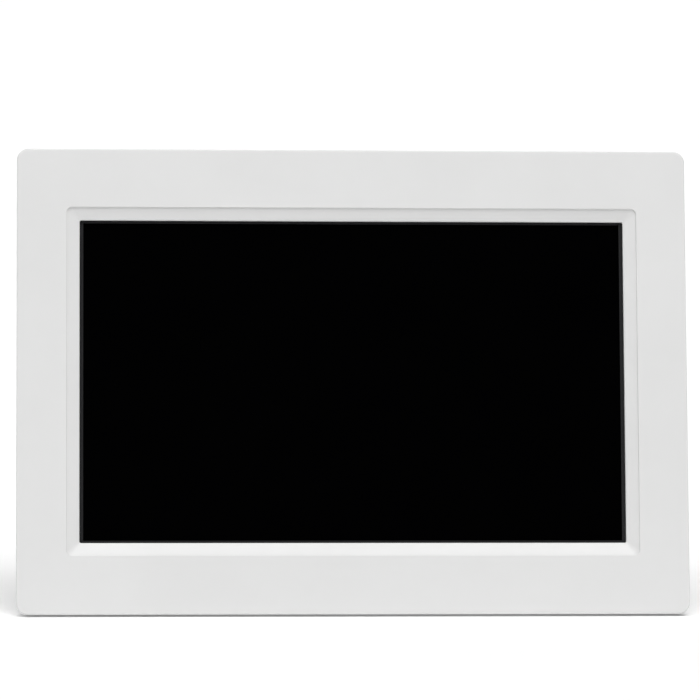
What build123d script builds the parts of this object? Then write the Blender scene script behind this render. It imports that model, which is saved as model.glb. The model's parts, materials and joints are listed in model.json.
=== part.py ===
from build123d import *
import os
from math import cos, radians, sin, tan

# Seven inch digital photo frame in its standing pose, millimetres.
# Everything is drawn in the panel's own frame, then leaned back once at the end:
# x to the right seen from the front, y from the front face towards the back,
# z up from the bottom edge of the bezel.

# outside
WIDTH = 192.5
HEIGHT = 133.7
CORNER_R = 3.4
LEAN = 12.0
MID = HEIGHT / 2

# bezel
BEZEL_DEPTH = 10.0
BEZEL_DRAFT = 1.9
BEZEL_PLATE = 2.4
FACE_EDGE_R, REAR_EDGE_R = 0.45, 0.4
CAVITY_W = WIDTH - 2 * (2.0 + BEZEL_DRAFT)
CAVITY_H = HEIGHT - 2 * (2.0 + BEZEL_DRAFT)
RECESS_W, RECESS_H, RECESS_R = 163.8, 99.9, 1.6
OPENING_W, OPENING_H, OPENING_R = 156.4, 92.6, 0.5
STEP_DEPTH, RIM_R = 0.42, 0.12
LIP_DEPTH, LIP_R = 1.5, 0.28
RIB_GAP, RIB_T, RIB_Y = 0.3, 1.2, 5.4
ROOT = 0.2
COVER_SCREW_R, SMALL_SCREW_R = 1.1, 0.9
COVER_BOSSES = [(x, z) for z in (8.5, HEIGHT - 8.5) for x in (-88.0, 0.0, 88.0)]
BRACKET_BOSSES = [(x, z) for z in (MID - 29, MID + 29) for x in (-88.0, 88.0)]

# display module, front to back
ACTIVE_W, ACTIVE_H = 153.6, 90.0
GASKET_W, GASKET_H = 154.3, 91.2
MODULE_W, MODULE_H = 165.0, 104.0
STACK_W, STACK_H = 157.6, 97.0
GASKET_Y = 2.4
MODULE_Y = 2.9
FILM_T, GLASS_T, GUIDE_T = 0.15, 0.5, 1.2
FRONT_FILM_Y = MODULE_Y + 0.2
GLASS_Y = FRONT_FILM_Y + FILM_T
REAR_FILM_Y = GLASS_Y + 2 * GLASS_T
SHEETS_Y = REAR_FILM_Y + FILM_T
GUIDE_Y = SHEETS_Y + 3 * FILM_T
REFLECTOR_Y = GUIDE_Y + GUIDE_T
PLATE_Y = REFLECTOR_Y + FILM_T
MODULE_BACK = 6.5
TAB_T = 0.5
LAMP_COUNT, LAMP_PITCH = 18, 8.5
FLEX_X, FLEX_W, FLEX_T = -10.0, 30.0, 0.2

# rear cover
COVER_Y = 8.0
HOUSING_W, HOUSING_H, HOUSING_R = 150.0, 104.0, 6.0
HOUSING_DRAFT, HOUSING_EDGE_R = 1.26, 2.5
REAR_Y = 22.0
COVER_WALL = 2.0
COVER_GAP = 0.3
LABEL_W, LABEL_H, LABEL_X, LABEL_Z = 44.0, 13.0, -24.0, 24.0
INNER_Y = REAR_Y - COVER_WALL

# main board and the sockets along its left edge
BOARD_Y0, BOARD_Y1 = 10.2, 11.8
BOARD_X0, BOARD_X1 = -71.6, 14.0
BOARD_Z0, BOARD_Z1 = 20.0, 91.0
BOARD_POSTS = [(-48.0, 24.0), (10.0, 24.0), (10.0, 74.0), (-38.0, 74.0)]
COILS = [(-46.0, 34.5), (-37.0, 34.5), (-37.0, 44.0)]
COIL_SIZE, COIL_T = 6.4, 3.0
CANS = [(-54.0, 44.0, 3.1, 5.4), (-46.5, 44.0, 2.4, 5.2), (-26.0, 32.0, 2.4, 5.2), (8.0, 66.0, 2.4, 5.2)]
CELL_X, CELL_Z, CELL_R, CELL_T = 1.0, 34.0, 6.25, 2.0
DC_Y, DC_Z, DC_PIN_R = 15.2, 28.0, 1.0
USB_Y, USB_Z, USB_W, USB_T = 14.85, 42.0, 13.1, 5.7
SHELL_T, USB_BACK_X = 0.35, -60.6
MICRO_Y, MICRO_Z, MICRO_W, MICRO_T = 13.9, 54.0, 7.7, 3.9
CARD_Y, CARD_Z, CARD_W, CARD_T = 13.35, 75.0, 28.5, 2.9
PORT_FACE_X = -73.9

# keys
KEY_NAMES = ["power", "menu", "previous", "next", "enter", "back"]
KEY_PITCH, KEY_Z = 12.0, 88.0
KEY_W, KEY_H, KEY_R = 9.0, 5.5, 1.0
KEY_GAP = 0.3
KEY_PROUD = 0.8
KEY_RIM_Y, PLUNGER_Y = 18.9, 18.4
KEY_BOARD_Y0, KEY_BOARD_Y1 = 14.2, 15.4
KEY_POSTS = [(-41.0, 88.0), (41.0, 88.0)]

# speakers and keyholes
SPEAKER_X, SPEAKER_Z = 56.0, 102.0
SPEAKER_W, SPEAKER_H, SPEAKER_Y = 26.0, 15.0, 17.2
CONE_Y, CONE_T, DOME_R = 18.8, 0.3, 3.4
LEAD_Y, PLUG_Y = 17.6, 12.7
KEYHOLE_R, KEYHOLE_SLOT_R, KEYHOLE_RUN = 4.0, 2.1, 6.0
KEYHOLES = [(0.0, 104.0, 90.0), (-62.0, MID, 180.0)]

# stand
HUB_Z = 54.0
HUB_X = WIDTH / 2 - HUB_Z
DISC_R, RECESS_GAP = 21.0, 0.4
DISC_Y = 19.0
CUP_FLOOR_Y, CUP_FLOOR_T = 18.9, 2.0
HUB_R, HUB_GAP, HUB_SCREW_R = 6.0, 0.05, 1.5
HUB_END_Y, WASHER_T = 16.3, 1.0
STOP_R, STOP_PEG_R = 16.0, 1.2
PIN_Y, PIN_R, PIN_GAP = 25.0, 1.0, 0.05
EAR_IN, EAR_OUT, EAR_R = 7.2, 10.6, 3.0
LEG_ANGLE = 32.0
LEG_T, LEG_TOP_W, LEG_TIP_W = 4.5, 26.0, 18.0
LEG_HEEL, LEG_POCKET_Y = 8.0, 0.4
TONGUE_W, TONGUE_T, TONGUE_L = 12.4, 2.6, 2.2
BOOT_T, BOOT_L = 4.9, 6.0
TABLE_GAP = 3.4

# feet under the bottom edge and on the edge it stands on when upright
FOOT_X, FOOT_RISE, FOOT_HALF = 62.0, 42.0, 7.0
FOOT_Y0, FOOT_Y1 = 5.0, 8.0
FOOT_TREAD, FOOT_ROOT = 1.0, 2.4


# ---------------------------------------------------------------- helpers

def at(y):
    """Drawing plane for (x, z) sketches at one depth."""
    return Plane.XZ.offset(-y)


def rounded(width, height, radius, x=0.0, z=MID):
    """Rounded rectangle sketch about a centre."""
    return Pos(x, z) * RectangleRounded(width, height, radius)


def rectangle(width, height, x=0.0, z=MID):
    """Sharp rectangle sketch about a centre."""
    return Pos(x, z) * Rectangle(width, height)


def prism(sketch, y0, y1):
    """Sketch pushed through the depth from y0 to y1."""
    return extrude(at(y0) * sketch, y1 - y0, dir=(0, 1, 0))


def frustum(sketch0, y0, sketch1, y1):
    """Straight loft between two sketches at two depths."""
    return loft([at(y0) * sketch0, at(y1) * sketch1])


def block(x0, x1, y0, y1, z0, z1):
    """Box between two opposite corners."""
    box = Box(x1 - x0, y1 - y0, z1 - z0)
    return Pos((x0 + x1) / 2, (y0 + y1) / 2, (z0 + z1) / 2) * box


def post(x, z, radius, y0, y1):
    """Cylinder along the depth."""
    return Pos(x, (y0 + y1) / 2, z) * Rot(90, 0, 0) * Cylinder(radius, y1 - y0)


def rod(radius, x0, x1, y, z):
    """Cylinder along the width."""
    return Pos((x0 + x1) / 2, y, z) * Rot(0, 90, 0) * Cylinder(radius, x1 - x0)


def ring(x, z, outer, inner, y0, y1):
    """Flat washer shape along the depth."""
    return post(x, z, outer, y0, y1) - post(x, z, inner, y0 - 1, y1 + 1)


def screw(x, z, shank_r, head_r, head_y, head_t, tip_y):
    """Cross-headed screw whose shank runs from the head towards tip_y."""
    way = 1 if tip_y > head_y else -1
    back = head_y - way * head_t
    head = post(x, z, head_r, min(head_y, back), max(head_y, back))
    head = fillet(head.edges().filter_by(GeomType.CIRCLE).sort_by(Axis.Y)[0 if way > 0 else -1], 0.3)
    shank = post(x, z, shank_r, min(head_y, tip_y), max(head_y, tip_y))
    cross0, cross1 = sorted((back, back + way * head_t * 0.6))
    cross = block(x - 1.1, x + 1.1, cross0, cross1, z - 0.2, z + 0.2)
    cross += block(x - 0.2, x + 0.2, cross0, cross1, z - 1.1, z + 1.1)
    return head + shank - cross


def group(shapes):
    """Several separate solids handed over as one piece."""
    solids = []
    for shape in shapes:
        solids.extend(shape.solids())
    return Compound(children=solids)


# ---------------------------------------------------------------- bezel and feet

def recess_tool():
    """Sunken sloping border round the opening, with a small step at its outer edge."""
    outline = rounded(RECESS_W, RECESS_H, RECESS_R)
    well = prism(outline, -1, STEP_DEPTH)
    return well + frustum(outline, STEP_DEPTH, rounded(OPENING_W, OPENING_H, OPENING_R), LIP_DEPTH)


def bezel_skin():
    """Outer shape of the bezel with the recess, the opening and their softened edges."""
    face = rounded(WIDTH, HEIGHT, CORNER_R)
    rear = rounded(WIDTH - 2 * BEZEL_DRAFT, HEIGHT - 2 * BEZEL_DRAFT, CORNER_R - BEZEL_DRAFT)
    skin = frustum(face, 0, rear, BEZEL_DEPTH)
    skin = fillet(skin.faces().sort_by(Axis.Y)[0].edges(), FACE_EDGE_R)
    skin = fillet(skin.faces().sort_by(Axis.Y)[-1].edges(), REAR_EDGE_R)
    skin -= recess_tool()
    rim = skin.faces().sort_by(Axis.Y)[0].inner_wires()[0].edges()
    skin = fillet(rim, RIM_R)
    skin -= prism(rounded(OPENING_W, OPENING_H, OPENING_R), -1, BEZEL_DEPTH + 1)
    lip = skin.edges().filter_by_position(Axis.Y, LIP_DEPTH - 0.01, LIP_DEPTH + 0.01)
    return fillet(lip, LIP_R)


def locating_ribs():
    """Ribs on the back of the bezel's face that hold the display square."""
    edge_x, edge_z = MODULE_W / 2 + RIB_GAP, MODULE_H / 2 + RIB_GAP
    ribs = []
    for side in (-1, 1):
        for z in (MID - 15.0, MID + 15.0):
            x0, x1 = sorted((side * edge_x, side * (edge_x + RIB_T)))
            ribs.append(block(x0, x1, BEZEL_PLATE - ROOT, RIB_Y, z - 8, z + 8))
        for x in (-50.0, 50.0):
            z0, z1 = sorted((MID + side * edge_z, MID + side * (edge_z + RIB_T)))
            ribs.append(block(x - 12, x + 12, BEZEL_PLATE - ROOT, RIB_Y, z0, z1))
    return ribs


def foot_blocks(gap, tread):
    """Blocks for the two bottom feet and the two side feet, grown by a gap, out to a tread."""
    half, y0, y1 = FOOT_HALF + gap, FOOT_Y0 - gap, FOOT_Y1 + gap
    bottom = [block(x - half, x + half, y0, y1, tread, FOOT_ROOT) for x in (-FOOT_X, FOOT_X)]
    x0, x1 = WIDTH / 2 - FOOT_ROOT, WIDTH / 2 - tread
    side = [block(x0, x1, y0, y1, z - half, z + half) for z in (MID - FOOT_RISE, MID + FOOT_RISE)]
    return bottom, side


def front_bezel():
    """White moulded bezel: outer walls, screw bosses and the ribs that locate the display."""
    shell = bezel_skin()
    shell -= prism(rounded(CAVITY_W, CAVITY_H, 1.5), BEZEL_PLATE, BEZEL_DEPTH + 1)
    for x, z in COVER_BOSSES:
        shell += post(x, z, 3.0, BEZEL_PLATE - ROOT, COVER_Y)
        shell -= post(x, z, COVER_SCREW_R, BEZEL_PLATE + 1.0, COVER_Y + 1)
    for x, z in BRACKET_BOSSES:
        shell += post(x, z, 2.6, BEZEL_PLATE - ROOT, MODULE_BACK)
        shell -= post(x, z, SMALL_SCREW_R, BEZEL_PLATE + 1.0, MODULE_BACK + 1)
    for rib in locating_ribs():
        shell += rib
    bottom, side = foot_blocks(0.1, -1.0)
    for pocket in bottom + side:
        shell -= pocket
    return shell


def rubber_feet():
    """Low pads in the bottom edge and in the edge the frame stands on when upright."""
    bottom, side = foot_blocks(0.0, FOOT_TREAD)
    feet = [fillet(pad.edges().filter_by(Axis.Y).sort_by(Axis.Z)[:2], 0.45) for pad in bottom]
    feet += [fillet(pad.edges().filter_by(Axis.Y).sort_by(Axis.X)[-2:], 0.45) for pad in side]
    return group(feet)


def bezel_gasket():
    """Black foam strip round the display, showing as a thin border in the opening."""
    outside = prism(rectangle(GASKET_W + 8.0, GASKET_H + 8.0), GASKET_Y, MODULE_Y)
    return outside - prism(rectangle(GASKET_W, GASKET_H), 0, MODULE_Y + 1)


# ---------------------------------------------------------------- display module

def flex_notch(y0, y1):
    """Room for the flat cable through the bottom wall of the module."""
    return block(FLEX_X - FLEX_W / 2 - 1, FLEX_X + FLEX_W / 2 + 1, y0, y1, 14, 16.2)


def lcd_metal_frame():
    """Folded steel frame round the module, open at the front over the active area."""
    can = prism(rectangle(MODULE_W, MODULE_H), MODULE_Y, MODULE_BACK)
    can -= prism(rectangle(MODULE_W - 0.6, MODULE_H - 0.6), MODULE_Y + 0.2, MODULE_BACK + 1)
    can -= prism(rectangle(ACTIVE_W + 1.6, ACTIVE_H + 1.6), MODULE_Y - 1, MODULE_Y + 1)
    return can - flex_notch(MODULE_Y + 0.4, MODULE_BACK + 1)


def lcd_polarizers():
    """Front and rear polarising films."""
    film = rectangle(156.4, 92.8)
    return group([prism(film, y, y + FILM_T) for y in (FRONT_FILM_Y, REAR_FILM_Y)])


def lcd_cell():
    """Two glass plates; the rear one is longer and carries the driver ledge."""
    front = prism(rectangle(160.0, 96.0, z=MID + 1.5), GLASS_Y, GLASS_Y + GLASS_T)
    rear = prism(rectangle(160.0, 99.0), GLASS_Y + GLASS_T, REAR_FILM_Y)
    return front + rear


def lcd_driver_chip():
    """Long thin driver chips bonded on the glass ledge."""
    ledge_y = GLASS_Y + GLASS_T
    return group([block(x - 11, x + 11, ledge_y - 0.35, ledge_y, 18.4, 19.6) for x in (-52.0, 44.0)])


def lcd_flex_cable():
    """Flat cable from the glass ledge, round the module and back to the board."""
    x0, x1 = FLEX_X - FLEX_W / 2, FLEX_X + FLEX_W / 2
    ledge_y, behind_y, plug_y = GLASS_Y + GLASS_T, 7.1, 9.1
    runs = [
        (ledge_y - FLEX_T, ledge_y, 13.6, 19.4),
        (ledge_y - FLEX_T, behind_y + FLEX_T, 13.6, 13.6 + FLEX_T),
        (behind_y, behind_y + FLEX_T, 13.6, 20.2),
        (behind_y, plug_y + FLEX_T, 20.2 - FLEX_T, 20.2),
        (plug_y, plug_y + FLEX_T, 20.2 - FLEX_T, 27.0),
    ]
    cable = block(x0, x1, *runs[0])
    for run in runs[1:]:
        cable += block(x0, x1, *run)
    return cable


def diffuser_sheets():
    """Stack of three brightening films."""
    outline = rectangle(STACK_W, STACK_H)
    depths = [SHEETS_Y + FILM_T * i for i in range(3)]
    return group([prism(outline, y, y + FILM_T) for y in depths])


def light_guide():
    """Clear edge-lit plate."""
    return prism(rectangle(STACK_W, STACK_H), GUIDE_Y, REFLECTOR_Y)


def reflector_sheet():
    """White film behind the light guide."""
    return prism(rectangle(STACK_W, STACK_H), REFLECTOR_Y, PLATE_Y)


def led_strip():
    """Row of small white lamps on a strip along the top edge of the light guide."""
    top = MID + STACK_H / 2
    half = LAMP_COUNT * LAMP_PITCH / 2
    strip = block(-half, half, GUIDE_Y, REFLECTOR_Y, top + 1.1, top + 1.5)
    for i in range(LAMP_COUNT):
        x = LAMP_PITCH * (i + 0.5) - half
        strip += block(x - 1.75, x + 1.75, GUIDE_Y + 0.15, REFLECTOR_Y - 0.15, top + 0.2, top + 1.1)
    return strip


def mould_frame():
    """White plastic ring that holds the optical stack."""
    outer = prism(rectangle(MODULE_W - 0.8, MODULE_H - 0.8), SHEETS_Y, PLATE_Y)
    outer -= prism(rectangle(158.0, 100.4, z=MID + 0.8), SHEETS_Y - 1, PLATE_Y + 1)
    return outer - flex_notch(SHEETS_Y - 1, PLATE_Y + 1)


def back_plate():
    """Thin steel back of the module."""
    plate = prism(rectangle(MODULE_W - 0.8, MODULE_H - 0.8), PLATE_Y, MODULE_BACK)
    return plate - flex_notch(PLATE_Y - 1, MODULE_BACK + 1)


def lcd_brackets():
    """Four steel tabs that hold the module down on the bezel."""
    tabs = []
    for x, z in BRACKET_BOSSES:
        side = 1 if x > 0 else -1
        x0, x1 = sorted((side * 78.5, side * 91.5))
        tab = block(x0, x1, MODULE_BACK, MODULE_BACK + TAB_T, z - 4, z + 4)
        tab = fillet(tab.edges().filter_by(Axis.Y), 1.5)
        tabs.append(tab - post(x, z, SMALL_SCREW_R, MODULE_BACK - 1, MODULE_BACK + 2))
    return group(tabs)


def lcd_bracket_screws():
    """Small screws through the tabs."""
    head_y = MODULE_BACK + TAB_T
    return group([screw(x, z, SMALL_SCREW_R, 1.9, head_y, 0.8, 3.9) for x, z in BRACKET_BOSSES])


# ---------------------------------------------------------------- boards

def main_board():
    """Circuit board that carries every socket."""
    width, height = BOARD_X1 - BOARD_X0, BOARD_Z1 - BOARD_Z0
    centre = ((BOARD_X0 + BOARD_X1) / 2, (BOARD_Z0 + BOARD_Z1) / 2)
    board = prism(rounded(width, height, 1.5, *centre), BOARD_Y0, BOARD_Y1)
    for x, z in BOARD_POSTS:
        board -= post(x, z, 1.3, BOARD_Y0 - 1, BOARD_Y1 + 1)
    return board


def chip(x, z, width, height, thick, leads=0):
    """Moulded chip on the board's rear face, with gull-wing leads on two sides."""
    x0, z1, top = x - width / 2, z + height / 2, BOARD_Y1 + thick
    body = block(x0, x0 + width, BOARD_Y1 + 0.1, top, z1 - height, z1)
    body = chamfer(body.faces().sort_by(Axis.Y)[-1].edges(), 0.2)
    body -= post(x0 + 1.2, z1 - 1.2, 0.5, top - 0.1, top + 1)
    for i in range(leads):
        lead_x = x0 + width * (i + 0.5) / leads
        for side in (-1, 1):
            inner, outer = sorted((z + side * (height / 2 - 0.2), z + side * (height / 2 + 1.0)))
            body += block(lead_x - 0.15, lead_x + 0.15, BOARD_Y1, BOARD_Y1 + 0.25, inner, outer)
    return body


def processor_chip():
    """Main processor."""
    return chip(-18.0, 52.0, 14.0, 14.0, 1.3, leads=22)


def memory_chips():
    """Working memory and picture storage."""
    working = chip(-2.0, 52.0, 8.0, 12.0, 1.1, leads=12)
    storage = chip(-22.0, 68.0, 12.0, 8.0, 1.1, leads=18)
    return group([working, storage])


def power_coils():
    """Shielded coils of the power converters."""
    coils = []
    half, top = COIL_SIZE / 2, BOARD_Y1 + COIL_T
    for x, z in COILS:
        body = block(x - half, x + half, BOARD_Y1, top, z - half, z + half)
        body = fillet(body.edges().filter_by(Axis.Y), 1.0)
        coils.append(body - ring(x, z, 2.4, 1.9, top - 0.6, top + 1))
    return group(coils)


def capacitors():
    """Can capacitors with their square bases."""
    cans = []
    for x, z, radius, height in CANS:
        half, base_y = radius + 0.2, BOARD_Y1 + 0.8
        base = block(x - half, x + half, BOARD_Y1, base_y, z - half, z + half)
        can = post(x, z, radius, base_y, BOARD_Y1 + height)
        can = fillet(can.edges().filter_by(GeomType.CIRCLE).sort_by(Axis.Y)[-1], 0.3)
        cans.append(base + can)
    return group(cans)


def board_passives():
    """Small resistors and capacitors round the chips."""
    y0, y1 = BOARD_Y1, BOARD_Y1 + 0.5
    bits = []
    for i in range(9):
        x = -32.0 + 3.2 * i
        bits.append(block(x - 0.8, x + 0.8, y0, y1, 39.6, 40.4))
        bits.append(block(x - 0.4, x + 0.4, y0, y1, 61.2, 62.8))
    for i in range(7):
        z = 42.0 + 2.6 * i
        bits.append(block(-30.8, -29.2, y0, y1, z - 0.4, z + 0.4))
        bits.append(block(5.2, 6.8, y0, y1, z - 0.4, z + 0.4))
    return group(bits)


def lcd_connector():
    """Flat-cable connector on the front of the board."""
    half = FLEX_W / 2
    body = block(FLEX_X - half - 2, FLEX_X + half + 2, 8.4, BOARD_Y0, 25.4, 29.8)
    body -= block(FLEX_X - half - 0.1, FLEX_X + half + 0.1, 9.05, 9.35, 25, 27.1)
    flap = body.edges().filter_by(Axis.X).sort_by(Axis.Y)[0]
    return chamfer(flap, 0.4)


def dc_jack():
    """Barrel socket for the power supply."""
    body = block(-71.7, -58.5, BOARD_Y1, 18.2, DC_Z - 4.5, DC_Z + 4.5)
    body = fillet(body.edges().filter_by(Axis.X).sort_by(Axis.Y)[-2:], 1.2)
    body -= rod(3.1, -72.7, -60.0, DC_Y, DC_Z)
    return body


def dc_jack_pin():
    """Centre contact of the barrel socket."""
    pin = rod(DC_PIN_R, -70.9, -60.0, DC_Y, DC_Z)
    return fillet(pin.edges().filter_by(GeomType.CIRCLE).sort_by(Axis.X)[0], 0.5)


def usb_host_shell():
    """Folded metal shell of the flat host socket."""
    half_w, half_t = USB_W / 2, USB_T / 2
    shell = block(PORT_FACE_X, -60.0, USB_Y - half_t, USB_Y + half_t, USB_Z - half_w, USB_Z + half_w)
    shell = fillet(shell.edges().filter_by(Axis.X), 0.5)
    half_w, half_t = half_w - SHELL_T, half_t - SHELL_T
    inside = (USB_Y - half_t, USB_Y + half_t, USB_Z - half_w, USB_Z + half_w)
    shell -= block(PORT_FACE_X - 1, USB_BACK_X, *inside)
    top = USB_Y + USB_T / 2
    for z in (USB_Z - 3.2, USB_Z + 3.2):
        shell -= block(-69.5, -64.5, top - 1, top + 1, z - 1.0, z + 1.0)
        shell += block(-69.5, -65.0, top - SHELL_T, top, z - 0.7, z + 0.7)
    return shell


def usb_host_tongue():
    """Plastic tongue with its four contact grooves."""
    y0, y1 = USB_Y - USB_T / 2 + SHELL_T, USB_Y + USB_T / 2 - SHELL_T
    tongue = block(-72.6, USB_BACK_X, y0 + 0.6, y0 + 2.4, USB_Z - 5.6, USB_Z + 5.6)
    tongue += block(USB_BACK_X - 2.0, USB_BACK_X, y0, y1, USB_Z - 6.0, USB_Z + 6.0)
    for dz in (-3.5, -1.0, 1.0, 3.5):
        tongue -= block(-72.0, -64.0, y0 + 2.2, y0 + 2.5, USB_Z + dz - 0.5, USB_Z + dz + 0.5)
    return tongue


def micro_port():
    """Small device socket with a keystone-shaped shell."""
    half, thick = MICRO_W / 2, MICRO_T / 2
    upper = [(-half, -0.2), (-half, thick), (half, thick), (half, -0.2)]
    lower = [(half - 1.2, -thick), (1.2 - half, -thick)]
    outline = make_face(Polyline(*upper, *lower, close=True))
    plane = Plane(origin=(PORT_FACE_X, MICRO_Y, MICRO_Z), x_dir=(0, 0, 1), z_dir=(1, 0, 0))
    shell = extrude(plane * outline, 9.0) - extrude(plane * offset(outline, -0.4), 8.0)
    x0 = PORT_FACE_X + 1.0
    return shell + block(x0, x0 + 8.0, MICRO_Y - 0.4, MICRO_Y + 0.4, MICRO_Z - 2.4, MICRO_Z + 2.4)


def card_socket():
    """Memory card socket with a spring-steel lid."""
    y0, y1 = CARD_Y - CARD_T / 2, CARD_Y + CARD_T / 2
    body = block(PORT_FACE_X + 0.6, -45.0, y0, y1, CARD_Z - CARD_W / 2, CARD_Z + CARD_W / 2)
    body -= block(PORT_FACE_X - 1, -47.0, y0 + 0.35, y1 - 0.25, CARD_Z - 12.2, CARD_Z + 12.2)
    for dz in (-7.0, 0.0, 7.0):
        body -= block(-68.0, -58.0, y1 - 0.5, y1 + 1, CARD_Z + dz - 1.5, CARD_Z + dz + 1.5)
        body += block(-68.0, -59.0, y1 - 0.25, y1, CARD_Z + dz - 1.1, CARD_Z + dz + 1.1)
    return body


def cell_holder():
    """Round holder of the clock battery."""
    x, z, floor, rim = CELL_X, CELL_Z, BOARD_Y1 + 0.8, BOARD_Y1 + 3.0
    holder = post(x, z, CELL_R + 1.55, BOARD_Y1, rim) - post(x, z, CELL_R + 0.15, floor, rim + 1)
    return holder - block(x - 3, x + 3, floor, rim + 1, z + 4, z + 9)


def coin_cell():
    """Clock battery."""
    floor = BOARD_Y1 + 0.8
    cell = post(CELL_X, CELL_Z, CELL_R, floor, floor + CELL_T)
    return fillet(cell.edges().filter_by(GeomType.CIRCLE), 0.3)


def board_screws():
    """Screws that hold the two boards to the rear cover."""
    main = [screw(x, z, 1.1, 2.2, BOARD_Y0, 1.2, BOARD_Y1 + 5) for x, z in BOARD_POSTS]
    keys = [screw(x, z, 0.9, 1.9, KEY_BOARD_Y0, 1.0, KEY_BOARD_Y1 + 3) for x, z in KEY_POSTS]
    return group(main + keys)


def button_board():
    """Narrow board behind the keys."""
    board = prism(rounded(90.0, 9.5, 1.0, 0, KEY_Z), KEY_BOARD_Y0, KEY_BOARD_Y1)
    for x, z in KEY_POSTS:
        board -= post(x, z, 1.1, KEY_BOARD_Y0 - 1, KEY_BOARD_Y1 + 1)
    return board


def button_header():
    """Plug strip between the two boards."""
    return block(-34.0, -16.0, BOARD_Y1, KEY_BOARD_Y0, 84.6, 87.2)


def key_x(i):
    """Centre of key number i, counted from the socket side."""
    return KEY_PITCH * (i - (len(KEY_NAMES) - 1) / 2)


def key_switches():
    """Square push switches, one behind each key."""
    switches = []
    for i in range(len(KEY_NAMES)):
        x = key_x(i)
        body = block(x - 3, x + 3, KEY_BOARD_Y1, KEY_BOARD_Y1 + 1.9, KEY_Z - 3, KEY_Z + 3)
        switches.append(body - post(x, KEY_Z, 1.8, KEY_BOARD_Y1 + 0.4, KEY_BOARD_Y1 + 3))
    return group(switches)


# ---------------------------------------------------------------- speakers

def oval(length, height, x, z):
    """Sketch with half-round ends."""
    return Pos(x, z) * SlotOverall(length, height)


def speaker(side):
    """Small oval speaker: basket and magnet."""
    x = side * SPEAKER_X
    basket = prism(oval(SPEAKER_W, SPEAKER_H, x, SPEAKER_Z), SPEAKER_Y, INNER_Y)
    basket -= prism(oval(SPEAKER_W - 3.4, SPEAKER_H - 3.4, x, SPEAKER_Z), SPEAKER_Y + 0.8, INNER_Y + 1)
    return basket + post(x, SPEAKER_Z, 5.0, SPEAKER_Y - 3.0, SPEAKER_Y + 0.2)


def speaker_left():
    """Speaker on the socket side."""
    return speaker(-1)


def speaker_right():
    """Speaker above the stand."""
    return speaker(1)


def speaker_cones():
    """Paper diaphragms with their centre domes."""
    cones = []
    for side in (-1, 1):
        x = side * SPEAKER_X
        sheet = prism(oval(SPEAKER_W - 3.6, SPEAKER_H - 3.6, x, SPEAKER_Z), CONE_Y, CONE_Y + CONE_T)
        dome = Pos(x, INNER_Y - 0.4 - DOME_R, SPEAKER_Z) * Sphere(DOME_R)
        cones.append(sheet + (dome & post(x, SPEAKER_Z, DOME_R, CONE_Y + 0.1, INNER_Y)))
    return group(cones)


def lead(points):
    """Round insulated wire: straight runs joined by arcs."""
    path = FilletPolyline(*points, radius=2.0)
    section = Plane(origin=path @ 0, z_dir=path % 0) * Circle(0.5)
    return sweep(section, path=path)


def speaker_leads():
    """Wire pairs from the speakers to the plug on the main board."""
    wires = []
    for i in range(2):
        x, z = -27.4 - 1.6 * i, 103.0 - 1.8 * i
        wires.append(lead([(-43.0, LEAD_Y, z), (x, LEAD_Y, z), (x, PLUG_Y, 96.0), (x, PLUG_Y, 90.2)]))
        x, z = -23.6 + 1.6 * i, 99.4 - 1.7 * i
        wires.append(lead([(43.0, LEAD_Y, z), (x, LEAD_Y, z), (x, PLUG_Y, 94.8), (x, PLUG_Y, 90.2)]))
    plug = block(-31.0, -20.0, BOARD_Y1, 13.8, 87.7, 90.2)
    return group(wires + [plug])


# ---------------------------------------------------------------- keys

def key_mark(name, x, z):
    """Plain symbol sketched for one key."""
    if name == "power":
        arc = Circle(1.3) - Circle(0.95) - Pos(0, 1.2) * Rectangle(0.9, 1.4)
        mark = arc + Pos(0, 0.95) * Rectangle(0.32, 1.3)
    elif name == "menu":
        bar = Rectangle(2.8, 0.32)
        mark = bar + Pos(0, 0.9) * bar + Pos(0, -0.9) * bar
    elif name == "previous":
        mark = make_face(Polyline((1.2, 0), (-0.9, 1.3), (-0.9, -1.3), close=True))
    elif name == "next":
        mark = make_face(Polyline((-1.2, 0), (0.9, 1.3), (0.9, -1.3), close=True))
    elif name == "enter":
        mark = Circle(1.3) - Circle(0.95) + Circle(0.42)
    else:
        head = make_face(Polyline((1.6, 0.2), (0.2, 1.2), (0.2, -0.8), close=True))
        mark = head + Pos(-0.6, 0.2) * Rectangle(1.8, 0.4)
    return Pos(x, z) * mark


def key_cap(i):
    """Key with a retaining rim inside and a sunk symbol outside."""
    x = key_x(i)
    top = REAR_Y + KEY_PROUD
    cap = prism(rounded(KEY_W, KEY_H, KEY_R, x, KEY_Z), KEY_RIM_Y, top)
    cap = fillet(cap.faces().sort_by(Axis.Y)[-1].edges(), 0.4)
    cap += prism(rounded(KEY_W + 2.0, KEY_H + 2.0, KEY_R + 0.4, x, KEY_Z), KEY_RIM_Y, KEY_RIM_Y + 0.8)
    cap += post(x, KEY_Z, 1.9, PLUNGER_Y, KEY_RIM_Y + 0.1)
    return cap - prism(key_mark(KEY_NAMES[i], x, KEY_Z), top - 0.2, top + 1)


def key_plunger(i):
    """Moving button of the switch."""
    return post(key_x(i), KEY_Z, 1.5, KEY_BOARD_Y1 + 1.0, PLUNGER_Y)


# ---------------------------------------------------------------- rear cover

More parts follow.
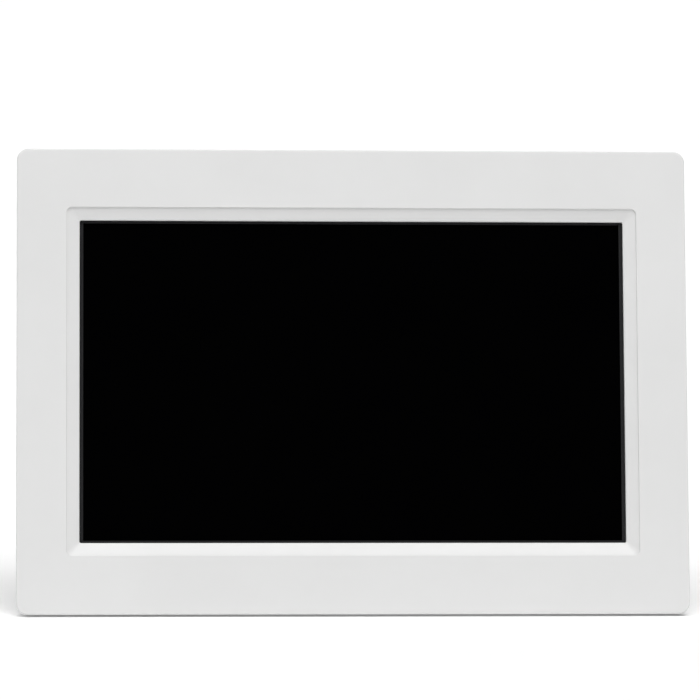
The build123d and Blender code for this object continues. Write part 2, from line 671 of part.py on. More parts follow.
def cover_skin():
    """Flange that closes the bezel, with the raised housing behind it."""
    flange_w, flange_h = CAVITY_W - 2 * COVER_GAP, CAVITY_H - 2 * COVER_GAP
    flange = prism(rounded(flange_w, flange_h, 1.3), COVER_Y, BEZEL_DEPTH)
    rear_w, rear_h = HOUSING_W - 2 * HOUSING_DRAFT, HOUSING_H - 2 * HOUSING_DRAFT
    front = rounded(HOUSING_W, HOUSING_H, HOUSING_R)
    rear = rounded(rear_w, rear_h, HOUSING_R - 1)
    housing = frustum(front, BEZEL_DEPTH - 1, rear, REAR_Y)
    housing = fillet(housing.faces().sort_by(Axis.Y)[-1].edges(), HOUSING_EDGE_R)
    wall = 2 * COVER_WALL
    front = rounded(HOUSING_W - wall, HOUSING_H - wall, HOUSING_R - COVER_WALL)
    rear = rounded(rear_w - wall, rear_h - wall, HOUSING_R - COVER_WALL - 1)
    return flange + housing - frustum(front, COVER_Y - 1, rear, INNER_Y)


def stand_cup(cover):
    """Round pocket for the turntable, its bearing hole and the curved stop groove."""
    underside = CUP_FLOOR_Y - CUP_FLOOR_T
    cover += post(HUB_X, HUB_Z, DISC_R + RECESS_GAP + COVER_WALL, underside, INNER_Y + 0.5)
    cover -= post(HUB_X, HUB_Z, DISC_R + RECESS_GAP, CUP_FLOOR_Y, REAR_Y + 1)
    cover -= post(HUB_X, HUB_Z, HUB_R + HUB_GAP, underside - 1, CUP_FLOOR_Y + 1)
    half = STOP_PEG_R + 0.4
    bottom = CUP_FLOOR_Y - 1.1
    groove = ring(HUB_X, HUB_Z, STOP_R + half, STOP_R - half, bottom, CUP_FLOOR_Y + 0.5)
    groove = groove & block(HUB_X - 30, HUB_X, 0, 40, HUB_Z, HUB_Z + 30)
    for x, z in [(HUB_X, HUB_Z + STOP_R), (HUB_X - STOP_R, HUB_Z)]:
        groove += post(x, z, half, bottom, CUP_FLOOR_Y + 0.5)
    return cover - groove


def keyhole(x, z, angle):
    """Round entry with a narrow slot towards the hanging end."""
    slot = Pos(KEYHOLE_RUN / 2, 0) * SlotCenterToCenter(KEYHOLE_RUN, 2 * KEYHOLE_SLOT_R)
    return prism(Pos(x, z) * Rot(0, 0, angle) * (Circle(KEYHOLE_R) + slot), INNER_Y - 1, REAR_Y + 1)


def grille(side):
    """Sound holes in front of one speaker."""
    holes = None
    for row in range(-2, 3):
        count = 7 - abs(row)
        for i in range(count):
            x = side * SPEAKER_X + 2.8 * (i - (count - 1) / 2)
            hole = post(x, SPEAKER_Z + 2.4 * row, 0.75, INNER_Y - 1, REAR_Y + 1)
            holes = hole if holes is None else holes + hole
    return holes


def vents():
    """Row of cooling slots below the centre."""
    slots = None
    for i in range(12):
        x = -46.0 + 4.0 * i
        slot = prism(Pos(x, 40.0) * Rot(0, 0, 90) * SlotOverall(16.0, 1.6), INNER_Y - 1, REAR_Y + 1)
        slots = slot if slots is None else slots + slot
    return slots


def port_openings():
    """Windows in the left wall for the four sockets."""
    cut = rod(3.4, -78, -70, DC_Y, DC_Z)
    for y, z, width, thick in [
        (USB_Y, USB_Z, USB_W + 0.6, USB_T + 0.6),
        (MICRO_Y, MICRO_Z, MICRO_W + 0.6, MICRO_T + 0.6),
        (CARD_Y, CARD_Z, CARD_W + 0.6, CARD_T + 0.6),
    ]:
        window = block(-78, -70, y - thick / 2, y + thick / 2, z - width / 2, z + width / 2)
        cut += fillet(window.edges().filter_by(Axis.X), 0.6)
    scoop = Pos(-77.6, CARD_Y, CARD_Z) * Rot(90, 0, 0) * Cylinder(6.0, 30.0)
    return cut + (scoop & block(-80, -60, CARD_Y - 3, REAR_Y + 1, CARD_Z - 6, CARD_Z + 6))


def cover_posts(cover):
    """Screw posts for the boards and locating rims for the speakers."""
    for x, z in BOARD_POSTS:
        cover += post(x, z, 2.8, BOARD_Y1, INNER_Y + 0.5)
        cover -= post(x, z, 1.1, BOARD_Y1 - 1, BOARD_Y1 + 5.2)
    for x, z in KEY_POSTS:
        cover += post(x, z, 2.4, KEY_BOARD_Y1, INNER_Y + 0.5)
        cover -= post(x, z, 0.9, KEY_BOARD_Y1 - 1, KEY_BOARD_Y1 + 3.2)
    for side in (-1, 1):
        x = side * SPEAKER_X
        rim = prism(oval(29.2, 18.2, x, SPEAKER_Z), 18.4, INNER_Y + 0.5)
        rim -= prism(oval(26.6, 15.6, x, SPEAKER_Z), 18, INNER_Y)
        x0, x1 = sorted((side * 45.0, side * 40.0))
        cover += rim - block(x0, x1, 17, INNER_Y, SPEAKER_Z - 3, SPEAKER_Z + 3)
    return cover


def rear_cover():
    """White moulded back with every opening."""
    cover = cover_posts(stand_cup(cover_skin()))
    for x, z, angle in KEYHOLES:
        cover -= keyhole(x, z, angle)
    for side in (-1, 1):
        cover -= grille(side)
    cover -= vents()
    cover -= prism(rounded(LABEL_W, LABEL_H, 1.5, LABEL_X, LABEL_Z), REAR_Y - 0.25, REAR_Y + 1)
    cover -= port_openings()
    for i in range(len(KEY_NAMES)):
        hole = rounded(KEY_W + 2 * KEY_GAP, KEY_H + 2 * KEY_GAP, KEY_R + KEY_GAP, key_x(i), KEY_Z)
        cover -= prism(hole, INNER_Y - 1, REAR_Y + 1)
    for x, z in COVER_BOSSES:
        cover -= post(x, z, 1.3, COVER_Y - 1, BEZEL_DEPTH + 1)
        cover -= post(x, z, 2.7, BEZEL_DEPTH - 1.2, BEZEL_DEPTH + 1)
    return cover


def cover_screws():
    """Six screws that close the frame."""
    return group([screw(x, z, 1.1, 2.3, BEZEL_DEPTH - 1.2, 1.1, 4.0) for x, z in COVER_BOSSES])


# ---------------------------------------------------------------- stand

def hinge_ear(side):
    """One ear that carries the hinge pin, with a web towards the top of the disc."""
    x0, x1 = sorted((HUB_X + side * EAR_IN, HUB_X + side * EAR_OUT))
    foot = block(x0, x1, REAR_Y - 0.5, PIN_Y, HUB_Z - EAR_R, HUB_Z + EAR_R)
    web = block(x0, x1, REAR_Y - 0.5, PIN_Y - 1.2, HUB_Z - EAR_R - 1.2, HUB_Z + EAR_R + 5)
    web = chamfer(web.edges().filter_by(Axis.X).sort_by(Axis.Z)[-1], 1.7)
    return rod(EAR_R, x0, x1, PIN_Y, HUB_Z) + foot + web


def stand_turntable():
    """Disc with its bearing boss, stop peg and the two hinge ears."""
    disc = post(HUB_X, HUB_Z, DISC_R, DISC_Y, REAR_Y)
    disc = fillet(disc.edges().filter_by(GeomType.CIRCLE).sort_by(Axis.Y)[-1], 0.5)
    disc -= ring(HUB_X, HUB_Z, DISC_R - 2.0, DISC_R - 2.6, REAR_Y - 0.4, REAR_Y + 1)
    disc += post(HUB_X, HUB_Z, HUB_R, HUB_END_Y, DISC_Y + 0.5)
    disc += post(HUB_X, HUB_Z + STOP_R, STOP_PEG_R, DISC_Y - 1.0, DISC_Y + 0.5)
    disc += hinge_ear(-1) + hinge_ear(1)
    disc -= rod(PIN_R, HUB_X - 20, HUB_X + 20, PIN_Y, HUB_Z)
    return disc - post(HUB_X, HUB_Z, HUB_SCREW_R, HUB_END_Y - 1, REAR_Y - 1.2)


def turntable_washer():
    """Wide steel washer inside the cover."""
    return ring(HUB_X, HUB_Z, 10.0, HUB_SCREW_R, HUB_END_Y - WASHER_T, HUB_END_Y)


def turntable_wave_washer():
    """Thin spring washer that gives the turntable its drag."""
    return ring(HUB_X, HUB_Z, 9.2, HUB_R + 0.5, HUB_END_Y, HUB_END_Y + 0.4)


def turntable_screw():
    """Screw into the bearing boss."""
    return screw(HUB_X, HUB_Z, HUB_SCREW_R, 2.8, HUB_END_Y - WASHER_T, 1.8, REAR_Y - 1.6)


def stand_hinge_pin():
    """Steel pin through the two ears."""
    pin = rod(PIN_R, HUB_X - EAR_OUT - 0.2, HUB_X + EAR_OUT + 0.2, PIN_Y, HUB_Z)
    return chamfer(pin.edges().filter_by(GeomType.CIRCLE), 0.2)


def leg_reach():
    """Distance along the leg from the pin to the table."""
    lean, angle = radians(LEAN), radians(LEG_ANGLE)
    drop = HUB_Z - FOOT_TREAD - tan(lean) * (PIN_Y - FOOT_Y1)
    return drop / (cos(angle) + tan(lean) * sin(angle))


def opened(shape):
    """Turn a leg piece drawn hanging straight down from the pin into its open position."""
    return Pos(HUB_X, PIN_Y, HUB_Z) * Rot(LEG_ANGLE, 0, 0) * shape


def below_table():
    """Everything under the table top, seen from the panel's own frame."""
    slab = block(-200, 200, -100, 200, -100, 0)
    return Pos(0, FOOT_Y1, FOOT_TREAD) * Rot(LEAN, 0, 0) * slab


def leg_outline(tip):
    """Paddle shape of the leg, drawn about the pin."""
    top, half_top, half_tip = EAR_IN - 0.3, LEG_TOP_W / 2, LEG_TIP_W / 2
    right = [(top, LEG_HEEL), (top, -6.5), (half_top, -11.0), (half_tip, -tip)]
    left = [(-x, z) for x, z in reversed(right)]
    return make_face(Polyline(*right, *left, close=True))


def leg_tongue(tip):
    """Tongue that the rubber boot is pushed over."""
    half_w, half_t = TONGUE_W / 2, TONGUE_T / 2
    return block(-half_w, half_w, -half_t, half_t, -tip - TONGUE_L, -tip + 1)


def stand_leg():
    """Moulded leg with a ribbed inside and a heel that stops against the turntable."""
    half = LEG_T / 2
    tip = leg_reach() - TABLE_GAP
    leg = prism(leg_outline(tip), -half, half)
    leg = fillet(leg.edges().filter_by(Axis.Y).sort_by(Axis.Z)[:2], 2.5)
    leg = fillet(leg.faces().sort_by(Axis.Y)[-1].edges(), 0.6)
    for z0, z1, width in [(-22.5, -9.5, 17.0), (-34.5, -24.0, 15.5), (5.0 - tip, -36.0, 13.5)]:
        leg -= block(-width / 2, width / 2, -half - 1, LEG_POCKET_Y, z0, z1)
    for i in range(4):
        z = 7.0 - tip + 2.0 * i
        leg -= block(-5.0, 5.0, half - 0.4, half + 1, z - 0.4, z + 0.4)
    leg += leg_tongue(tip)
    leg -= rod(PIN_R + PIN_GAP, -20, 20, 0, 0)
    heel = block(HUB_X - 30, HUB_X + 30, 0, REAR_Y + 0.05, HUB_Z - 30, HUB_Z + 30)
    return opened(leg) - heel


def leg_foot_pad():
    """Rubber boot on the end of the leg, cut flat where it meets the table."""
    tip = leg_reach() - TABLE_GAP
    half_w, half_t = LEG_TIP_W / 2, BOOT_T / 2
    pad = block(-half_w, half_w, -half_t, half_t, -tip - BOOT_L, -tip)
    pad = fillet(pad.edges().filter_by(Axis.Z), 1.2) - leg_tongue(tip)
    return opened(pad) - below_table()


# ---------------------------------------------------------------- assembly

PIECES = {
    "front_bezel": front_bezel,
    "rubber_feet": rubber_feet,
    "bezel_gasket": bezel_gasket,
    "lcd_metal_frame": lcd_metal_frame,
    "lcd_polarizers": lcd_polarizers,
    "lcd_cell": lcd_cell,
    "lcd_driver_chip": lcd_driver_chip,
    "lcd_flex_cable": lcd_flex_cable,
    "diffuser_sheets": diffuser_sheets,
    "light_guide": light_guide,
    "reflector_sheet": reflector_sheet,
    "led_strip": led_strip,
    "mould_frame": mould_frame,
    "back_plate": back_plate,
    "lcd_brackets": lcd_brackets,
    "lcd_bracket_screws": lcd_bracket_screws,
    "main_board": main_board,
    "processor_chip": processor_chip,
    "memory_chips": memory_chips,
    "power_coils": power_coils,
    "capacitors": capacitors,
    "board_passives": board_passives,
    "lcd_connector": lcd_connector,
    "dc_jack": dc_jack,
    "dc_jack_pin": dc_jack_pin,
    "usb_host_shell": usb_host_shell,
    "usb_host_tongue": usb_host_tongue,
    "micro_port": micro_port,
    "card_socket": card_socket,
    "cell_holder": cell_holder,
    "coin_cell": coin_cell,
    "board_screws": board_screws,
    "button_board": button_board,
    "button_header": button_header,
    "key_switches": key_switches,
    "speaker_left": speaker_left,
    "speaker_right": speaker_right,
    "speaker_cones": speaker_cones,
    "speaker_leads": speaker_leads,
    "rear_cover": rear_cover,
    "cover_screws": cover_screws,
    "stand_turntable": stand_turntable,
    "turntable_washer": turntable_washer,
    "turntable_wave_washer": turntable_wave_washer,
    "turntable_screw": turntable_screw,
    "stand_hinge_pin": stand_hinge_pin,
    "stand_leg": stand_leg,
    "leg_foot_pad": leg_foot_pad,
}


def all_pieces():
    """Every piece in the panel's own frame, by name."""
    pieces = {name: make() for name, make in PIECES.items()}
    for i, name in enumerate(KEY_NAMES):
        pieces[f"key_{name}"] = key_cap(i)
        pieces[f"key_{name}_plunger"] = key_plunger(i)
    return pieces


def main():
    os.makedirs("parts", exist_ok=True)
    lean = Rot(-LEAN, 0, 0)
    leaned = {name: lean * shape for name, shape in all_pieces().items()}
    box = group(leaned.values()).bounding_box()
    home = Pos(-box.center().X, -box.center().Y, -box.min.Z)
    for name, shape in leaned.items():
        export_step(home * shape, f"parts/{name}.step")


main()
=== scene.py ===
"""Studio view of a white seven inch digital photo frame standing on its rear leg."""
import json
import math

import bpy
from mathutils import Matrix, Vector


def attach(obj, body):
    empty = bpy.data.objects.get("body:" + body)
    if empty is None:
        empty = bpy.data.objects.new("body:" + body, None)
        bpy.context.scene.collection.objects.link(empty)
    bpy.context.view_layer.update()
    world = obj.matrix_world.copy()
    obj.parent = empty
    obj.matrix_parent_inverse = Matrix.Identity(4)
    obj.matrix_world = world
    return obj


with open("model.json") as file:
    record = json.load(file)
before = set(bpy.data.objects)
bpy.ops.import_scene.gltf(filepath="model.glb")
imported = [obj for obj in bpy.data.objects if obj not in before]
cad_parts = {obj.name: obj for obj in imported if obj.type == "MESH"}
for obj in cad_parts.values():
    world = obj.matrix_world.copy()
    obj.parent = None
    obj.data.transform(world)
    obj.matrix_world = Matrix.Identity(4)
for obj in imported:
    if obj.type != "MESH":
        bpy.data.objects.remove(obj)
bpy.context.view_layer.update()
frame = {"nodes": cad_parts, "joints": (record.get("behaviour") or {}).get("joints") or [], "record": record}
NODES = frame["nodes"]
JOINTS = {joint["name"]: joint for joint in frame["joints"]}

# The panel's own directions: across, up the face, and straight back from it.
ACROSS = Vector((1.0, 0.0, 0.0))
BACK = -Vector(JOINTS["stand_swivel"]["axis"]).normalized()
UP = ACROSS.cross(BACK)


def span(node, direction):
    """Lowest and highest reach of a CAD node along a direction."""
    reach = [vertex.co.dot(direction) for vertex in NODES[node].data.vertices]
    return min(reach), max(reach)


FACE = span("front_bezel", BACK)[0]
FACE_LOW, FACE_HIGH = span("front_bezel", UP)
FACE_MIDDLE = (FACE_LOW + FACE_HIGH) / 2


def on_panel(x, depth, height):
    """Point given across, behind the face, and above the middle of the face."""
    return ACROSS * x + BACK * (FACE + depth) + UP * (FACE_MIDDLE + height)


# ---------------------------------------------------------------- materials

BAND_SPACING = 0.05  # the wave texture's own spacing factor
NOISE_LOW, NOISE_HIGH = 0.3, 0.7  # where most of a noise pattern lies


class Recipe:
    """One procedural material, put together from a few named steps."""

    def __init__(self, name):
        self.material = bpy.data.materials.new(name)
        self.material.use_nodes = True
        self.tree = self.material.node_tree
        self.tree.nodes.clear()
        self.shader = self.tree.nodes.new("ShaderNodeBsdfPrincipled")
        out = self.tree.nodes.new("ShaderNodeOutputMaterial")
        self.join(self.shader.outputs["BSDF"], out.inputs["Surface"])
        self.place = self.tree.nodes.new("ShaderNodeTexCoord").outputs["Object"]

    def join(self, out, into):
        self.tree.links.new(out, into)

    def set(self, **values):
        """Fixed values straight on the shader's sockets."""
        for name, value in values.items():
            self.shader.inputs[name.replace("_", " ")].default_value = value
        return self

    def stretched(self, x, y, z):
        """Object coordinates scaled unevenly, for grain that runs one way."""
        node = self.tree.nodes.new("ShaderNodeMapping")
        node.inputs["Scale"].default_value = (x, y, z)
        self.join(self.place, node.inputs["Vector"])
        return node.outputs["Vector"]

    def along(self, direction, middle, width):
        """0 to 1 ramp along a direction, half way at middle."""
        dot = self.tree.nodes.new("ShaderNodeVectorMath")
        dot.operation = "DOT_PRODUCT"
        dot.inputs[1].default_value = direction
        self.join(self.place, dot.inputs[0])
        return self.remap(dot.outputs["Value"], middle - width / 2, middle + width / 2, 0.0, 1.0)

    def noise(self, size, detail=2.0, place=None):
        """Soft noise with features of about this size in metres."""
        node = self.tree.nodes.new("ShaderNodeTexNoise")
        node.inputs["Scale"].default_value = 1.0 / size
        node.inputs["Detail"].default_value = detail
        self.join(place or self.place, node.inputs["Vector"])
        return node.outputs["Fac"]

    def cells(self, size, feature="F1"):
        """Cell pattern, for grains, pores and foam."""
        node = self.tree.nodes.new("ShaderNodeTexVoronoi")
        node.feature = feature
        node.inputs["Scale"].default_value = 1.0 / size
        self.join(self.place, node.inputs["Vector"])
        return node.outputs["Distance"]

    def waves(self, size, direction="X", distortion=0.0):
        """Evenly spaced bands."""
        node = self.tree.nodes.new("ShaderNodeTexWave")
        node.bands_direction = direction
        node.inputs["Scale"].default_value = BAND_SPACING / size * 2 * math.pi
        node.inputs["Distortion"].default_value = distortion
        self.join(self.place, node.inputs["Vector"])
        return node.outputs["Fac"]

    def remap(self, value, low, high, to_low, to_high):
        """Value stretched from one range to another."""
        node = self.tree.nodes.new("ShaderNodeMapRange")
        node.inputs["From Min"].default_value = low
        node.inputs["From Max"].default_value = high
        node.inputs["To Min"].default_value = to_low
        node.inputs["To Max"].default_value = to_high
        self.join(value, node.inputs["Value"])
        return node.outputs["Result"]

    def blend(self, value, first, second):
        """Colour between two colours, or between a colour and an earlier result."""
        node = self.tree.nodes.new("ShaderNodeMix")
        node.data_type = "RGBA"
        self.join(value, node.inputs["Factor"])
        for socket, colour in ((node.inputs["A"], first), (node.inputs["B"], second)):
            if isinstance(colour, tuple):
                socket.default_value = (*colour, 1.0)
            else:
                self.join(colour, socket)
        return node.outputs["Result"]

    def colour(self, result):
        self.join(result, self.shader.inputs["Base Color"])
        return self

    def roughness(self, value, low, high):
        spread = self.remap(value, NOISE_LOW, NOISE_HIGH, low, high)
        self.join(spread, self.shader.inputs["Roughness"])
        return self

    def bump(self, *layers):
        """Stack of (height, depth in metres) layers."""
        normal = None
        for height, depth in layers:
            node = self.tree.nodes.new("ShaderNodeBump")
            node.inputs["Distance"].default_value = depth
            self.join(height, node.inputs["Height"])
            if normal is not None:
                self.join(normal, node.inputs["Normal"])
            normal = node.outputs["Normal"]
        self.join(normal, self.shader.inputs["Normal"])
        return self


def moulded_plastic(name, colour, rough=0.42, grain=6e-6):
    """Fine spark-eroded moulding: very even colour, faint flow shading, satin gloss."""
    made = Recipe(name)
    darker = tuple(0.98 * c for c in colour)
    flow = made.remap(made.noise(0.035, 3.0), 0.35, 0.65, 0.0, 1.0)
    made.colour(made.blend(flow, darker, colour))
    made.roughness(made.noise(0.006), rough - 0.04, rough + 0.04)
    made.bump((made.noise(0.0028, 1.0), 5e-6), (made.noise(0.00028, 3.0), grain))
    return made.set(IOR=1.49)


BEZEL_WHITE = (0.72, 0.72, 0.718)
COVER_WHITE = (0.71, 0.71, 0.707)


def white_plastic():
    """Satin white of the bezel."""
    return moulded_plastic("white_plastic", BEZEL_WHITE).material


def cover_plastic():
    """White back with a slightly coarser spark-eroded grain."""
    return moulded_plastic("cover_plastic", COVER_WHITE, rough=0.5, grain=1.6e-5).material


INK_BELOW_TOP, INK_BLUR = 0.00012, 0.00004
RIM_ABOVE_COVER, RIM_BLUR = 0.0001, 0.00002
INK = (0.09, 0.09, 0.1)


def key_plastic():
    """White key with dark ink filling its sunk symbol."""
    made = moulded_plastic("key_plastic", BEZEL_WHITE, rough=0.36)
    ink_top = span("key_power", BACK)[1] - INK_BELOW_TOP
    cover_top = span("rear_cover", BACK)[1] + RIM_ABOVE_COVER
    base = made.shader.inputs["Base Color"].links[0].from_socket
    above_ink = made.along(BACK, ink_top, INK_BLUR)
    above_cover = made.along(BACK, cover_top, RIM_BLUR)
    below_cover = made.remap(above_cover, 0.0, 1.0, 1.0, 0.0)
    marked = made.blend(above_ink, INK, base)
    made.colour(made.blend(below_cover, marked, base))
    return made.material


def rubber():
    """Grey rubber with a dusty, slightly pitted surface."""
    made = Recipe("rubber")
    made.colour(made.blend(made.noise(0.0015, 4.0), (0.05, 0.05, 0.052), (0.085, 0.085, 0.09)))
    made.roughness(made.noise(0.0008), 0.72, 0.9)
    made.bump((made.cells(0.0004), 2e-5), (made.noise(0.003), 2e-5))
    return made.set(IOR=1.5).material


def clear_rubber():
    """Milky see-through rubber of the low feet."""
    made = Recipe("clear_rubber")
    made.colour(made.blend(made.noise(0.002, 3.0), (0.66, 0.66, 0.655), (0.74, 0.74, 0.735)))
    made.roughness(made.noise(0.001), 0.45, 0.6)
    made.bump((made.noise(0.0006), 1e-5))
    return made.set(IOR=1.43, Transmission_Weight=0.25).material


def foam():
    """Black closed-cell foam strip."""
    made = Recipe("foam")
    made.colour(made.blend(made.cells(0.00025), (0.009, 0.009, 0.01), (0.02, 0.02, 0.021)))
    made.roughness(made.noise(0.0006), 0.85, 0.98)
    made.bump((made.cells(0.00025), 4e-5))
    return made.set(IOR=1.3).material


def screen_film():
    """Anti-glare polarising film over a dark, switched-off panel."""
    made = Recipe("screen_film")
    made.colour(made.blend(made.noise(0.02), (0.0003, 0.0003, 0.0004), (0.0006, 0.0006, 0.0007)))
    made.roughness(made.noise(0.0006), 0.14, 0.2)
    made.bump((made.noise(0.00012, 2.0), 6e-7))
    return made.set(IOR=1.06).material


def dark_glass():
    """Glass cell, near black behind its film, with a faint purple cast at the edges."""
    made = Recipe("dark_glass")
    made.colour(made.blend(made.noise(0.01), (0.004, 0.004, 0.006), (0.009, 0.008, 0.012)))
    made.roughness(made.noise(0.002), 0.05, 0.1)
    return made.set(IOR=1.5).material


def brushed_metal(name, colour, rough=0.34, lines=0.00012):
    """Rolled or turned metal with fine lines one way."""
    made = Recipe(name)
    streak = made.noise(lines, 2.0, made.stretched(0.04, 1.0, 1.0))
    darker = tuple(0.86 * c for c in colour)
    made.colour(made.blend(streak, darker, colour))
    made.roughness(streak, rough - 0.08, rough + 0.1)
    made.bump((streak, 3e-6), (made.noise(0.004), 1e-5))
    return made.set(Metallic=1.0).material


def sheet_steel():
    """Tinned sheet steel."""
    return brushed_metal("sheet_steel", (0.60, 0.61, 0.62))


def screw_steel():
    """Nickel plated screws and pins."""
    return brushed_metal("screw_steel", (0.66, 0.65, 0.63), rough=0.28, lines=0.00006)


def socket_steel():
    """Bright plated shells of the sockets."""
    return brushed_metal("socket_steel", (0.74, 0.74, 0.75), rough=0.22, lines=0.00008)


def can_aluminium():
    """Bare aluminium of the capacitor cans."""
    return brushed_metal("can_aluminium", (0.80, 0.81, 0.83), rough=0.3)


def contact_brass():
    """Plated centre contact."""
    return brushed_metal("contact_brass", (0.78, 0.62, 0.34), rough=0.2, lines=0.00005)


def black_plastic():
    """Black moulded plastic of sockets, switches and speaker baskets."""
    return moulded_plastic("black_plastic", (0.028, 0.028, 0.03), rough=0.45, grain=8e-6).material


def black_resin():
    """Chip resin with a faint speckle."""
    made = Recipe("black_resin")
    made.colour(made.blend(made.cells(0.00018), (0.018, 0.018, 0.019), (0.035, 0.035, 0.037)))
    made.roughness(made.noise(0.0005), 0.55, 0.7)
    made.bump((made.noise(0.0002, 3.0), 6e-6))
    return made.set(IOR=1.55).material


def circuit_board():
    """Green solder mask over raised copper tracks."""
    made = Recipe("circuit_board")
    tracks = made.remap(made.waves(0.0012, "DIAGONAL", 6.0), 0.62, 0.7, 0.0, 1.0)
    made.colour(made.blend(tracks, (0.008, 0.085, 0.03), (0.02, 0.17, 0.06)))
    made.roughness(made.noise(0.003), 0.28, 0.4)
    made.bump((tracks, 2e-5), (made.noise(0.0006), 5e-6))
    return made.set(IOR=1.5).material


def ferrite():
    """Pressed grey core of the coils."""
    made = Recipe("ferrite")
    made.colour(made.blend(made.cells(0.0002), (0.10, 0.10, 0.105), (0.17, 0.17, 0.18)))
    made.roughness(made.noise(0.0005), 0.6, 0.8)
    made.bump((made.cells(0.0003), 2e-5))
    return made.material


def fired_ceramic():
    """Small brown parts with pale soldered ends."""
    made = Recipe("fired_ceramic")
    made.colour(made.blend(made.noise(0.0007, 3.0), (0.30, 0.20, 0.11), (0.50, 0.38, 0.25)))
    made.roughness(made.noise(0.0004), 0.4, 0.55)
    made.bump((made.noise(0.0003), 8e-6))
    return made.material


def ivory_plastic():
    """Ivory connector body."""
    return moulded_plastic("ivory_plastic", (0.68, 0.63, 0.50), rough=0.4).material


def amber_film():
    """Amber flat cable with copper tracks showing through."""
    made = Recipe("amber_film")
    made.colour(made.blend(made.waves(0.0005, "X"), (0.30, 0.11, 0.015), (0.52, 0.26, 0.05)))
    made.roughness(made.noise(0.002), 0.25, 0.35)
    made.bump((made.waves(0.0005, "X"), 8e-6))
    return made.set(IOR=1.6).material


def white_film():
    """White sheets and mouldings of the backlight."""
    made = Recipe("white_film")
    made.colour(made.blend(made.noise(0.01), (0.78, 0.78, 0.77), (0.84, 0.84, 0.83)))
    made.roughness(made.noise(0.002), 0.5, 0.65)
    made.bump((made.noise(0.0004), 3e-6))
    return made.material


def clear_acrylic():
    """Light guide plate with its printed dots."""
    made = Recipe("clear_acrylic")
    dots = made.remap(made.cells(0.0012), 0.25, 0.3, 0.0, 1.0)
    made.colour(made.blend(dots, (0.9, 0.92, 0.92), (0.72, 0.78, 0.78)))
    made.roughness(dots, 0.08, 0.25)
    made.bump((dots, 1e-5))
    return made.set(IOR=1.49, Transmission_Weight=0.6).material


def cone_paper():
    """Pressed paper of the speaker cones."""
    made = Recipe("cone_paper")
    made.colour(made.blend(made.noise(0.0006, 4.0), (0.03, 0.03, 0.031), (0.065, 0.063, 0.06)))
    made.roughness(made.noise(0.0006), 0.85, 0.95)
    made.bump((made.noise(0.0004, 4.0), 4e-5))
    return made.material


def wire_skin():
    """Red vinyl of the speaker wires."""
    made = Recipe("wire_skin")
    made.colour(made.blend(made.noise(0.004), (0.34, 0.015, 0.012), (0.45, 0.025, 0.02)))
    made.roughness(made.noise(0.001), 0.35, 0.5)
    made.bump((made.noise(0.0008), 1e-5))
    return made.set(IOR=1.52).material


SLOT_LOOKS = {
    "white_plastic": cover_plastic,
    "clear_rubber": clear_rubber,
    "grey_rubber": rubber,
    "black_foam": foam,
    "sheet_steel": sheet_steel,
    "polarizing_film": screen_film,
    "dark_glass": dark_glass,
    "black_resin": black_resin,
    "amber_film": amber_film,
    "white_film": white_film,
    "clear_acrylic": clear_acrylic,
    "screw_steel": screw_steel,
    "green_board": circuit_board,
    "grey_ferrite": ferrite,
    "can_aluminium": can_aluminium,
    "tan_ceramic": fired_ceramic,
    "ivory_plastic": ivory_plastic,
    "black_plastic": black_plastic,
    "contact_brass": contact_brass,
    "socket_steel": socket_steel,
    "cone_paper": cone_paper,
    "wire_skin": wire_skin,
}


def dress(node, material):
    """Give one CAD node its finished material."""
    slots = NODES[node].data.materials
    slots.clear()
    slots.append(material)


def dress_all():
    """Every CAD node by its slot, then the pieces with a finish of their own."""
    looks = {slot: make() for slot, make in SLOT_LOOKS.items()}
    for part in frame["record"]["subparts"]:
        dress(part["node"], looks[part["material_slot"]])
    dress("front_bezel", white_plastic())
    keys = key_plastic()
    for name in NODES:
        if name.startswith("key_") and name.split("_")[-1] not in ("plunger", "switches"):
            dress(name, keys)


# ---------------------------------------------------------------- blank label on the back

LABEL_MIDDLE = (-0.024, -0.04285)
LABEL_SIZE = (0.0432, 0.0122)
LABEL_CORNER = 0.0012
LABEL_DEPTHS = (0.02176, 0.02190)


def label_film():
    """Matte pale grey film with a fine woven face."""
    made = Recipe("label_film")
    made.colour(made.blend(made.noise(0.006, 3.0), (0.60, 0.61, 0.62), (0.64, 0.65, 0.66)))
    made.roughness(made.noise(0.0008), 0.42, 0.55)
    made.bump((made.noise(0.0002, 2.0), 4e-6))
    return made.set(IOR=1.5).material


def rounded_outline(width, height, radius, steps=6):
    """Corner arcs of a rounded rectangle, as (x, height) pairs."""
    points = []
    for quarter, (side, level) in enumerate([(1, 1), (-1, 1), (-1, -1), (1, -1)]):
        for step in range(steps + 1):
            angle = math.pi / 2 * (quarter + step / steps)
            x = side * (width / 2 - radius) + radius * math.cos(angle)
            z = level * (height / 2 - radius) + radius * math.sin(angle)
            points.append((x, z))
    return points


def build_label():
    """Plain plate lying in the shallow recess below the cooling slots."""
    outline = rounded_outline(*LABEL_SIZE, LABEL_CORNER)
    across, up = LABEL_MIDDLE
    rings = [[on_panel(across + x, depth, up + z) for x, z in outline] for depth in LABEL_DEPTHS]
    count = len(outline)
    faces = [tuple(range(count)), tuple(reversed(range(count, 2 * count)))]
    faces += [(i, i + count, (i + 1) % count + count, (i + 1) % count) for i in range(count)]
    mesh = bpy.data.meshes.new("blank_label")
    mesh.from_pydata(rings[0] + rings[1], [], faces)
    mesh.materials.append(label_film())
    label = bpy.data.objects.new("blank_label", mesh)
    bpy.context.scene.collection.objects.link(label)
    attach(label, "frame")


# ---------------------------------------------------------------- floor, light and camera

FLOOR_REACH, FLOOR_LEVEL = 30.0, -0.00002
SKY_STRENGTH, HORIZON_STRENGTH = 0.05, 0.97
FADE_START, FADE_END = 0.03, 0.06

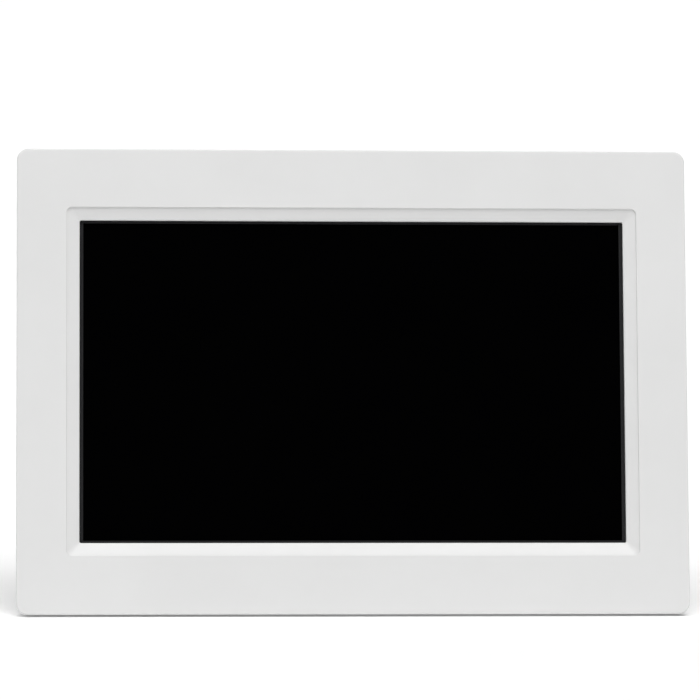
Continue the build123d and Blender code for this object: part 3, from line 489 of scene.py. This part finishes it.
# name, turn from straight ahead, height and spread in degrees, strength
LIGHTS = [
    ("front_light", 6.0, 60.0, 40.0, 1.55),
    ("left_light", -50.0, 60.0, 50.0, 0.91),
    ("right_light", 50.0, 60.0, 50.0, 0.78),
    ("rear_light", 200.0, 25.0, 60.0, 0.63),
]


def floor_surface():
    """Plain pale table top, faintly lit from underneath."""
    made = Recipe("floor_paint")
    made.colour(made.blend(made.noise(0.4, 2.0), (0.94, 0.94, 0.94), (0.96, 0.96, 0.96)))
    made.roughness(made.noise(0.05), 0.85, 0.95)
    made.set(IOR=1.3, Emission_Color=(1.0, 1.0, 1.0, 1.0), Emission_Strength=0.09)
    return made.material


def build_floor():
    """Large plain floor under the frame."""
    square = ((-1, -1), (1, -1), (1, 1), (-1, 1))
    corners = [(FLOOR_REACH * x, FLOOR_REACH * y, FLOOR_LEVEL) for x, y in square]
    mesh = bpy.data.meshes.new("floor")
    mesh.from_pydata(corners, [], [(0, 1, 2, 3)])
    mesh.materials.append(floor_surface())
    floor = bpy.data.objects.new("floor", mesh)
    bpy.context.scene.collection.objects.link(floor)


def soft_light(name, turn, height, spread, strength):
    """Very soft light from far off; turn, height and spread in degrees."""
    turn, height = math.radians(turn), math.radians(height)
    towards = Vector((math.sin(turn), -math.cos(turn), math.tan(height)))
    lamp = bpy.data.lights.new(name, "SUN")
    lamp.angle = math.radians(spread)
    lamp.energy = strength
    light = bpy.data.objects.new(name, lamp)
    light.rotation_euler = towards.to_track_quat("Z", "Y").to_euler()
    bpy.context.scene.collection.objects.link(light)


def build_sky():
    """Dim even sky that turns pale close to the horizon, where it meets the table."""
    world = bpy.data.worlds.new("sky")
    world.use_nodes = True
    nodes, links = world.node_tree.nodes, world.node_tree.links
    split = nodes.new("ShaderNodeSeparateXYZ")
    fade = nodes.new("ShaderNodeMapRange")
    fade.inputs["From Min"].default_value = FADE_START
    fade.inputs["From Max"].default_value = FADE_END
    fade.inputs["To Min"].default_value = HORIZON_STRENGTH
    fade.inputs["To Max"].default_value = SKY_STRENGTH
    sky = nodes["Background"]
    sky.inputs["Color"].default_value = (1.0, 1.0, 1.0, 1.0)
    links.new(nodes.new("ShaderNodeTexCoord").outputs["Generated"], split.inputs["Vector"])
    links.new(split.outputs["Z"], fade.inputs["Value"])
    links.new(fade.outputs["Result"], sky.inputs["Strength"])
    bpy.context.scene.world = world


def build_lights():
    """Three broad lights from above the front, and a weaker low one for the back."""
    for light in LIGHTS:
        soft_light(*light)
    build_sky()


CAMERA_TURN = math.radians(3.95)
CAMERA_BELOW = math.radians(6.43)
CAMERA_ROLL = math.radians(-0.32)
CAMERA_DISTANCE = 1.3453
AIM = (-0.00093, 0.0, 0.0089)
SENSOR = 36.0
FOCAL_LENGTH, PICTURE_WIDTH = 4700.0, 700.0
LENS = SENSOR * FOCAL_LENGTH / PICTURE_WIDTH
CLIP_END = 100.0


def build_camera():
    """Long lens a little left of square-on and a little below the face's normal."""
    away = (
        -ACROSS * math.sin(CAMERA_TURN) * math.cos(CAMERA_BELOW)
        - BACK * math.cos(CAMERA_TURN) * math.cos(CAMERA_BELOW)
        - UP * math.sin(CAMERA_BELOW)
    )
    right = UP.cross(away).normalized()
    top = away.cross(right)
    turned = right * math.cos(CAMERA_ROLL) + top * math.sin(CAMERA_ROLL)
    top = away.cross(turned)
    data = bpy.data.cameras.new("camera")
    data.sensor_width = SENSOR
    data.lens = LENS
    data.clip_end = CLIP_END
    camera = bpy.data.objects.new("camera", data)
    axes = Matrix((turned, top, away)).transposed().to_4x4()
    camera.matrix_world = Matrix.Translation(on_panel(*AIM) + away * CAMERA_DISTANCE) @ axes
    bpy.context.scene.collection.objects.link(camera)
    bpy.context.scene.camera = camera


def main():
    build_camera()
    dress_all()
    build_label()
    build_floor()
    build_lights()
    bpy.context.scene.view_settings.view_transform = "Standard"


main()
